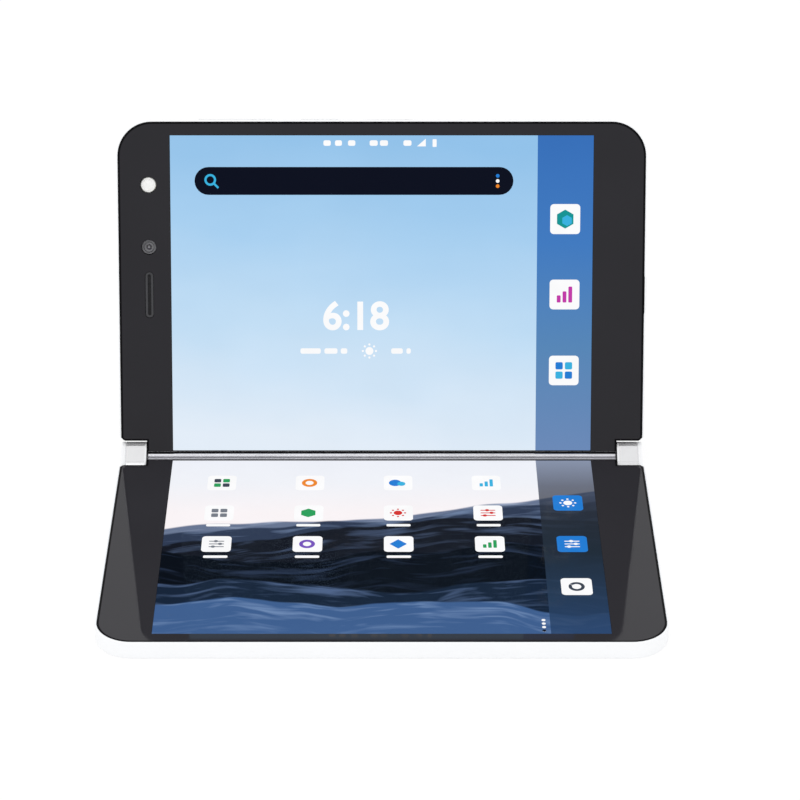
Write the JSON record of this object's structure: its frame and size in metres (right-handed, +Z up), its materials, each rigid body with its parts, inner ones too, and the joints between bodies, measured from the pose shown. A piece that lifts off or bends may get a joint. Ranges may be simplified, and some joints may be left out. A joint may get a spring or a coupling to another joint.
{
  "type": "foldable smartphone",
  "caption": "Folding phone with a screen on each of two rigid glass halves, joined by two small geared hinges that open through a full turn.",
  "frame": {"origin": "middle of the lower half's flat back face", "axes": "+X along the hinge line to the user's right, +Y away from the user towards the hinge, +Z up"},
  "size_m": [0.1454, 0.1311, 0.091],
  "materials": {
    "frame_white": "satin pearl white paint",
    "back_glass": "opaque white, polished",
    "cover_glass": "polished, clear over the screen and black round it",
    "black_border": "black",
    "upper_screen": "lit display, pale blue",
    "lower_screen": "lit display, slate blue",
    "satin_silver": "satin",
    "hinge_white": "gloss pearl white",
    "steel": "bright",
    "gear_brass": "machined",
    "battery": "dark film over a metal pouch",
    "board": "green solder mask",
    "flex": "amber film",
    "dark_plastic": "dark grey",
    "camera_ring": "grey, satin",
    "lens": "dark coated lens",
    "flash_lens": "frosted white",
    "led": "yellow phosphor"
  },
  "bodies": {
    "lower_half": {"lower_frame": "frame_white", "lower_hinge_bar": "satin_silver", "lower_cover_glass": "cover_glass", "lower_bezel": "black_border", "lower_display_flex": "flex", "lower_back_glass": "back_glass", "lower_battery": "battery", "lower_screws": "steel", "lower_lead": "flex", "lower_display": "lower_screen", "lower_board": "board", "haptic_motor": "steel", "left_lower_shaft": "steel", "right_lower_shaft": "steel"},
    "left_hinge": {"left_housing": "hinge_white", "left_cap": "hinge_white", "left_idler_pins": "steel", "left_friction_clip": "steel", "hinge_cable": "flex"},
    "right_hinge": {"right_housing": "hinge_white", "right_cap": "hinge_white", "right_idler_pins": "steel", "right_friction_clip": "steel"},
    "left_idler_a": {"left_idler_a": "gear_brass"},
    "left_idler_b": {"left_idler_b": "gear_brass"},
    "right_idler_a": {"right_idler_a": "gear_brass"},
    "right_idler_b": {"right_idler_b": "gear_brass"},
    "upper_half": {"upper_frame": "frame_white", "upper_hinge_bar": "satin_silver", "upper_cover_glass": "cover_glass", "upper_bezel": "black_border", "upper_display_flex": "flex", "upper_back_glass": "back_glass", "upper_battery": "battery", "upper_screws": "steel", "upper_lead": "flex", "upper_display": "upper_screen", "main_board": "board", "main_shield": "steel", "camera_body": "dark_plastic", "camera_ring": "camera_ring", "camera_lens": "lens", "flash_lens": "flash_lens", "flash_led": "led", "earpiece_insert": "camera_ring", "earpiece_speaker": "dark_plastic", "socket_shell": "steel", "socket_tongue": "black_border", "socket_collar": "dark_plastic", "socket_flex": "flex", "card_reader": "steel", "key_flex": "flex", "fingerprint_sensor": "dark_plastic", "left_upper_shaft": "steel", "right_upper_shaft": "steel"},
    "card_tray": {"card_tray": "frame_white"},
    "power_button": {"power_button": "frame_white"},
    "volume_rocker": {"volume_rocker": "frame_white"}
  },
  "joints": [
    {"name": "left_hinge_turn", "type": "hinge", "parent": "lower_half", "child": "left_hinge", "pos_m": [-0.068, 0.04485, 0.0024], "axis": [-1, 0, 0], "range_deg": [-55.75, 124.25]},
    {"name": "upper_half_turn", "type": "hinge", "parent": "left_hinge", "child": "upper_half", "pos_m": [-0.068, 0.04907, 0.00527], "axis": [-1, 0, 0], "range_deg": [-55.75, 124.25]},
    {"name": "right_hinge_turn", "type": "hinge", "parent": "lower_half", "child": "right_hinge", "pos_m": [0.068, 0.04485, 0.0024], "axis": [-1, 0, 0], "range_deg": [-55.75, 124.25]},
    {"name": "left_idler_a_spin", "type": "hinge", "parent": "left_hinge", "child": "left_idler_a", "pos_m": [-0.068, 0.04626, 0.00336], "axis": [-1, 0, 0], "range_deg": [-55.75, 124.25]},
    {"name": "left_idler_b_spin", "type": "hinge", "parent": "left_hinge", "child": "left_idler_b", "pos_m": [-0.068, 0.04766, 0.00431], "axis": [-1, 0, 0], "range_deg": [-124.25, 55.75]},
    {"name": "right_idler_a_spin", "type": "hinge", "parent": "right_hinge", "child": "right_idler_a", "pos_m": [0.068, 0.04626, 0.00336], "axis": [-1, 0, 0], "range_deg": [-55.75, 124.25]},
    {"name": "right_idler_b_spin", "type": "hinge", "parent": "right_hinge", "child": "right_idler_b", "pos_m": [0.068, 0.04766, 0.00431], "axis": [-1, 0, 0], "range_deg": [-124.25, 55.75]},
    {"name": "card_tray_slide", "type": "slide", "parent": "upper_half", "child": "card_tray", "axis": [0, 0.3665, 0.9304], "range_m": [0, 0.018]},
    {"name": "power_button_press", "type": "slide", "parent": "upper_half", "child": "power_button", "axis": [0, -0.3665, -0.9304], "range_m": [0, 0.00025], "stiffness_N_per_m": 8000, "springref_m": -0.00008},
    {"name": "volume_rocker_tilt", "type": "hinge", "parent": "upper_half", "child": "volume_rocker", "pos_m": [-0.04, 0.08221, 0.08776], "axis": [0, -0.9304, 0.3665], "range_deg": [-0.8, 0.8], "stiffness_Nm_per_rad": 2.5}
  ],
  "couplings": [
    {"joint": "upper_half_turn", "follows": "left_hinge_turn", "ratio": 1},
    {"joint": "right_hinge_turn", "follows": "left_hinge_turn", "ratio": 1},
    {"joint": "left_idler_a_spin", "follows": "left_hinge_turn", "ratio": 1},
    {"joint": "left_idler_b_spin", "follows": "left_hinge_turn", "ratio": -1},
    {"joint": "right_idler_a_spin", "follows": "left_hinge_turn", "ratio": 1},
    {"joint": "right_idler_b_spin", "follows": "left_hinge_turn", "ratio": -1}
  ]
}
